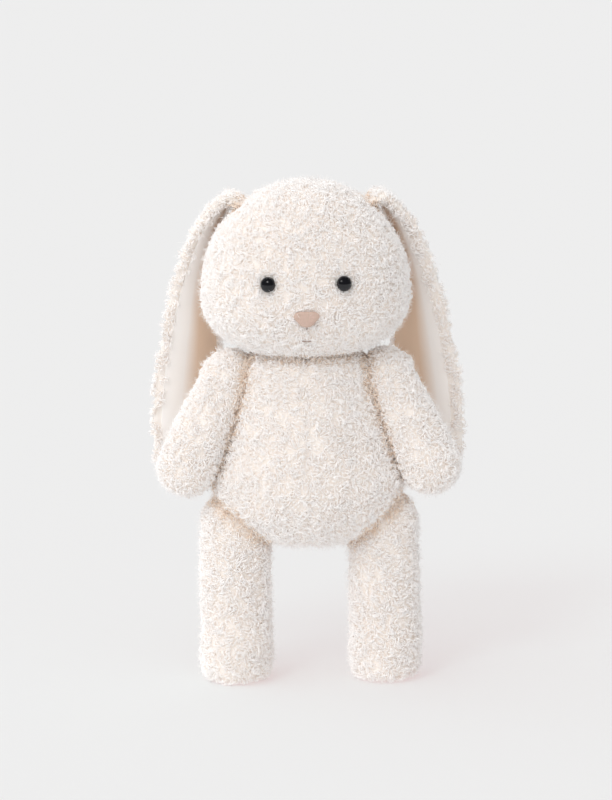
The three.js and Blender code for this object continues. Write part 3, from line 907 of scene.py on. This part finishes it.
def make_leg(side, sign, rng):
    rows, columns = 64, 72
    faces = skin_faces(rows, columns)
    hip = PIVOTS[f"{side}_leg_spread"]
    height = hip[2] - 0.6 * MM
    flat_reach = LEG_SOLE - SOLE_EDGE
    sole = arc_points(SOLE_EDGE, SOLE_EDGE - height, -90, 0, 5) + [flat_reach, 0]
    outline = np.vstack(
        [
            [[0, -height], [0.5 * flat_reach, -height]],
            sole,
            [
                [LEG_SOLE, 0.5 * FOOT_HEIGHT - height],
                [0.97 * LEG_SOLE, FOOT_HEIGHT - height],
                [1.01 * LEG_TOP, 1.6 * FOOT_HEIGHT - height],
            ],
            arc_points(LEG_TOP, 0, -8, 90, 7),
        ]
    )
    points = turned_skin(outline, columns, rows)
    high = (points[:, 2] + height) / FOOT_HEIGHT
    toe = np.where((high < 1) & (points[:, 1] < 0), np.cos(np.clip(high, 0, 1) * math.pi / 2), 0)
    points[:, 1] *= 1 + TOE * toe
    flat = points[:, 2] < -height + 0.3 * MM
    points = stuffed(points + hip, faces, 71 if sign > 0 else 89, 0.8 * MM)
    points[flat, 2] = SOLE_PILE
    replaced = [f"{side}_leg_skin", f"{side}_leg_stuffing", f"{side}_foot_pellet_bag"]
    skin = add_skin(f"{side}_leg_cover", points, faces, replaced)
    body = f"{side}_leg"
    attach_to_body(skin, body)

    def short_on_sole(places, normals):
        under = (places[:, 2] < 3.5 * MM) & (normals[:, 2] < -0.5)
        buried = unit(places - hip)[:, 2] > 0.85
        return np.where(buried, 0, np.where(under, TRODDEN, 1.0))

    coat(f"{side}_leg", points, triangles(faces), rng, ride_with(body), short_on_sole)


# ---------------------------------------------------------------- ears

# The ear from inside the head over the fold to its tip, in millimetres from the fold: x, y, z, the
# half width, and the turn of the lining from facing the head (0 degrees) to facing forwards (90).
EAR_STATIONS = [
    [-10, -2, -5, 8, 0],
    [-6, -1, -0.5, 10, 4],
    [-2, 0, 0.5, 11.5, 9],
    [4, 3, -6, 13, 18],
    [11, 8, -20, 15, 30],
    [17, 13, -40, 16.5, 38],
    [21.5, 18, -65, 18.5, 46],
    [23, 22, -93, 22, 55],
    [25, 25, -122, 24.5, 60],
    [27.5, 26, -150, 24, 62],
    [30, 27, -172, 21, 62],
    [31, 27, -185, 16, 62],
    [31.5, 27, -193, 9, 62],
    [31.5, 27, -196.5, 3, 62],
]
EAR_THICKNESS = 3.6 * MM
LINING_THICKNESS = 1.4 * MM
LINING_MARGIN = 5.0 * MM
LINING_SHIFT = {"left": 2.5 * MM, "right": 0.0}  # inwards: the left ear has a wider furry rim
LINING_SHADE_SHIFT = {"left": 0.12, "right": 0.0}  # how much further out the painted shade of the left lining turns tan
EAR_ROLL = math.radians(26)  # how far the lining turns away towards the outer edge
FULL_ROLL = 15 * MM  # the half width from which the ear has its whole roll
LINING_CLEAR = 0.5 * MM  # how far from the lining a tuft is rooted
LINING_RAY = 4 * MM  # how far over its root a tuft must not meet the lining
LINING_SHARES = (0.095, 0.985)  # of the ear's length, where the lining starts and ends


def ear_frame(sign, fold, count, first=0.0, last=1.0):
    """Places along the ear: the middle, the half width, the lining's turn and the way along."""
    fine = smooth_line(EAR_STATIONS, 400)
    wanted = np.linspace(first, last, count) * 399
    rows = np.stack([np.interp(wanted, np.arange(400), c) for c in fine.T], -1)
    middle = rows[:, :3] * MM * [sign, 1, 1] + fold
    along = unit(np.gradient(middle, axis=0))
    return middle, rows[:, 3] * MM, np.radians(rows[:, 4]), along


def ear_places(sign, frame_rows, across, off, margin, shift):
    """Points at shares across the ear, from -1 at the outer edge to 1, and off the middle layer."""
    middle, half, turn, along = frame_rows
    half = np.maximum(half - margin, 0.3 * MM)[:, None]
    share = np.minimum(half / FULL_ROLL, 1)
    rolled = turn[:, None] - EAR_ROLL * across * share
    mean = turn[:, None] - 0.5 * EAR_ROLL * across * share
    width = np.stack([-sign * np.sin(mean), np.cos(mean), np.zeros_like(mean)], -1)
    edge = np.stack([-sign * np.sin(rolled), np.cos(rolled), np.zeros_like(rolled)], -1)
    facing = sign * unit(np.cross(edge, along[:, None]))
    aside = half * across + shift * share
    return middle[:, None] + width * aside[..., None] + facing * off[..., None]


def ear_panel(sign, frame_rows, thickness, front, columns, margin=0.0, shift=0.0):
    """A closed, flat-oval panel along the ear, and how far across it each point is."""
    rows = len(frame_rows[0])
    turn = np.linspace(0, 2 * math.pi, columns, endpoint=False)[None]
    across = np.sign(np.cos(turn)) * np.abs(np.cos(turn)) ** 0.75 + np.zeros((rows, 1))
    round_off = np.sign(np.sin(turn)) * np.abs(np.sin(turn)) ** 0.6
    off = front - thickness / 2 + round_off * thickness / 2 + np.zeros((rows, 1))
    return ear_places(sign, frame_rows, across, off, margin, shift), across


def closed_panel(places):
    """The points of a panel with a pole at each end, and its faces."""
    rows, columns, _ = places.shape
    poles = [places[0].mean(axis=0), places[-1].mean(axis=0)]
    return np.vstack([places.reshape(-1, 3), poles]), skin_faces(rows, columns)


def outwards(points, faces):
    """The faces, turned over if they look inwards."""
    tris = triangles(faces)
    a, b, c = points[tris[:, 0]], points[tris[:, 1]], points[tris[:, 2]]
    volume = np.einsum("ij,ij->i", a, np.cross(b, c)).sum()
    return faces if volume > 0 else [f[:, ::-1] for f in faces]


def make_ear(side, sign, rng):
    fold = PIVOTS[f"{side}_ear_lift"]

    def bend(piece):
        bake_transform(piece)

    frame_rows = ear_frame(sign, fold, 110)
    places, _ = ear_panel(sign, frame_rows, EAR_THICKNESS, EAR_THICKNESS / 2, 48)
    points, faces = closed_panel(places)
    faces = outwards(points, faces)
    back = add_mesh(f"{side}_ear_fur_panel", points, faces, [BACKING])
    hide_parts(f"{side}_ear_back")
    bend(back)

    lining_rows = ear_frame(sign, fold, 130, *LINING_SHARES)
    front = EAR_THICKNESS / 2 + LINING_THICKNESS
    shift = LINING_SHIFT[side]
    places, across = ear_panel(
        sign, lining_rows, LINING_THICKNESS, front, 64, LINING_MARGIN, shift
    )
    lining_points, lining_faces = closed_panel(places)
    lining_faces = outwards(lining_points, lining_faces)
    normals = point_normals(lining_points, triangles(lining_faces))
    ripple = 0.2 * lumps(lining_points * [1, 1, 0.3], 12 * MM, 7)
    lining_points = lining_points + normals * (ripple * MM)[:, None]
    lining = add_mesh(f"{side}_ear_velour", lining_points, lining_faces, [LINING])
    # Painted light and shade: 0 at the lining's pale outer edge to 1 at its tan inner edge.
    lining_shade = np.append(0.5 + 0.5 * across.ravel(), [0.5, 0.5]) + LINING_SHADE_SHIFT[side]
    lining.data.attributes.new("lining_shade", "FLOAT", "POINT").data.foreach_set(
        "value", lining_shade.astype(np.float32)
    )
    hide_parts(f"{side}_ear_lining")
    bend(lining)

    covered = BVHTree.FromPolygons(lining_points.tolist(), triangles(lining_faces).tolist())

    def off_lining(places, normals):
        away = np.array([covered.find_nearest(place)[3] for place in places])
        pairs = zip(places, normals)
        rays = (covered.ray_cast(place, normal, LINING_RAY) for place, normal in pairs)
        clear = np.array([hit[0] is None for hit in rays])
        return np.where(clear & (away > LINING_CLEAR), 1.0, 0.0)

    coat(f"{side}_ear", points, triangles(faces), rng, bend, off_lining)


# ---------------------------------------------------------------- stage

AIM = Vector((-1.1 * MM, 0, 183.2 * MM))
CAMERA_DISTANCE = 3.0
CAMERA_PITCH = math.radians(10)
CAMERA_ROLL = math.radians(-0.8)
VIEW_HEIGHT = 522 * MM  # what the picture takes in, at the rabbit
SUN_AZIMUTH = math.radians(30)  # to the left of the camera
SUN_ELEVATION = math.radians(42)
BRIGHT_SIDE = Vector((-0.85, -0.35, 0.4)).normalized()  # where the surround is brightest
SURROUND_LIGHT = 0.76  # on average
SURROUND_SWING = 0.8  # how much brighter that side is, as a share of the average
IN_REFLECTIONS = 0.15  # the surround as a glossy bead mirrors it
PAPER = 0.855  # the backdrop, and how the lit floor looks
FLOOR_COLOR = (0.3, 0.46, 0.46)  # what shadows take from the floor
FLOOR_GLOW = (0.546, 0.381, 0.381)  # the rest of its light, which shadows leave


def make_camera():
    data = bpy.data.cameras.new("camera")
    data.sensor_width = 36
    data.lens = data.sensor_width * CAMERA_DISTANCE / VIEW_HEIGHT
    camera = bpy.data.objects.new("camera", data)
    back = Vector((0, -math.cos(CAMERA_PITCH), math.sin(CAMERA_PITCH)))
    aim = (-back).to_track_quat("-Z", "Y").to_matrix().to_4x4()
    camera.matrix_world = (
        Matrix.Translation(AIM + back * CAMERA_DISTANCE) @ aim @ Matrix.Rotation(CAMERA_ROLL, 4, "Z")
    )
    bpy.context.scene.collection.objects.link(camera)
    bpy.context.scene.camera = camera


def make_floor():
    """A wide pale floor, flat to the horizon."""
    half = 30
    corners = [[-half, -half, 0], [half, -half, 0], [half, half, 0], [-half, half, 0]]
    material = principled("paper_floor", FLOOR_COLOR, 1.0, Specular_IOR_Level=0.0)
    shader = material.node_tree.nodes["Principled BSDF"]
    shader.inputs["Emission Color"].default_value = (*FLOOR_GLOW, 1)
    shader.inputs["Emission Strength"].default_value = 1
    floor = add_mesh("floor", np.array(corners, float), [np.array([[0, 1, 2, 3]])], [material])


def make_window():
    """The key light: soft daylight from the front left."""
    data = bpy.data.lights.new("window", "SUN")
    data.energy = 0.5
    data.angle = math.radians(18)
    data.color = (1.0, 0.985, 0.965)
    window = bpy.data.objects.new("window", data)
    out = Vector(
        (
            -math.sin(SUN_AZIMUTH) * math.cos(SUN_ELEVATION),
            -math.cos(SUN_AZIMUTH) * math.cos(SUN_ELEVATION),
            math.sin(SUN_ELEVATION),
        )
    )
    window.rotation_mode = "QUATERNION"
    window.rotation_quaternion = (-out).to_track_quat("-Z", "Y")
    window.location = out
    bpy.context.scene.collection.objects.link(window)


def make_surround():
    """A bright surround, brightest on the left, before a plain pale backdrop."""
    world = bpy.data.worlds.new("surround")
    world.use_nodes = True
    nodes, links = world.node_tree.nodes, world.node_tree.links
    place = nodes.new("ShaderNodeTexCoord")
    toward = nodes.new("ShaderNodeVectorMath")
    toward.operation = "DOT_PRODUCT"
    toward.inputs[1].default_value = BRIGHT_SIDE
    links.new(place.outputs["Generated"], toward.inputs[0])
    strength = nodes.new("ShaderNodeMapRange")
    strength.inputs["From Min"].default_value = -1
    strength.inputs["To Min"].default_value = SURROUND_LIGHT * (1 - SURROUND_SWING)
    strength.inputs["To Max"].default_value = SURROUND_LIGHT * (1 + SURROUND_SWING)
    links.new(toward.outputs["Value"], strength.inputs["Value"])
    surround = nodes["Background"]
    surround.inputs["Color"].default_value = (1, 1, 1, 1)
    links.new(strength.outputs["Result"], surround.inputs["Strength"])
    seen = nodes.new("ShaderNodeLightPath")
    light = surround.outputs["Background"]
    for ray, level in (("Is Glossy Ray", IN_REFLECTIONS), ("Is Camera Ray", PAPER)):
        plain = nodes.new("ShaderNodeBackground")
        plain.inputs["Color"].default_value = (level, level, level, 1)
        either = nodes.new("ShaderNodeMixShader")
        links.new(seen.outputs[ray], either.inputs["Fac"])
        links.new(light, either.inputs[1])
        links.new(plain.outputs["Background"], either.inputs[2])
        light = either.outputs["Shader"]
    links.new(light, nodes["World Output"].inputs["Surface"])
    scene = bpy.context.scene
    scene.world = world
    scene.view_settings.view_transform = "Standard"
    # Light passes through a white pile many times before it leaves.
    scene.cycles.max_bounces = 16
    scene.cycles.diffuse_bounces = 14


# ---------------------------------------------------------------- the rabbit


def dress_inner_nodes():
    """Gives the CAD pieces inside the covers their finish."""
    for name, cad_node in frame["nodes"].items():
        finish = None
        if name.endswith("_stitch") and name != "mouth_stitch":
            finish = THREAD
        elif name.endswith("_washer"):
            finish = WASHER
        if finish is not None:
            cad_node.data.materials.clear()
            cad_node.data.materials.append(finish)


make_camera()
make_floor()
make_window()
make_surround()
dress_inner_nodes()
make_head(np.random.default_rng(101))
for eye_side, _ in SIDES:
    make_eye(eye_side)
make_nose()
make_mouth()
make_back_seam(make_torso(np.random.default_rng(102)))
make_tail(np.random.default_rng(103))
for limb, (limb_side, limb_sign) in enumerate(SIDES):
    make_arm(limb_side, limb_sign, np.random.default_rng(110 + limb))
    make_leg(limb_side, limb_sign, np.random.default_rng(120 + limb))
    make_ear(limb_side, limb_sign, np.random.default_rng(130 + limb))

grow_coats()
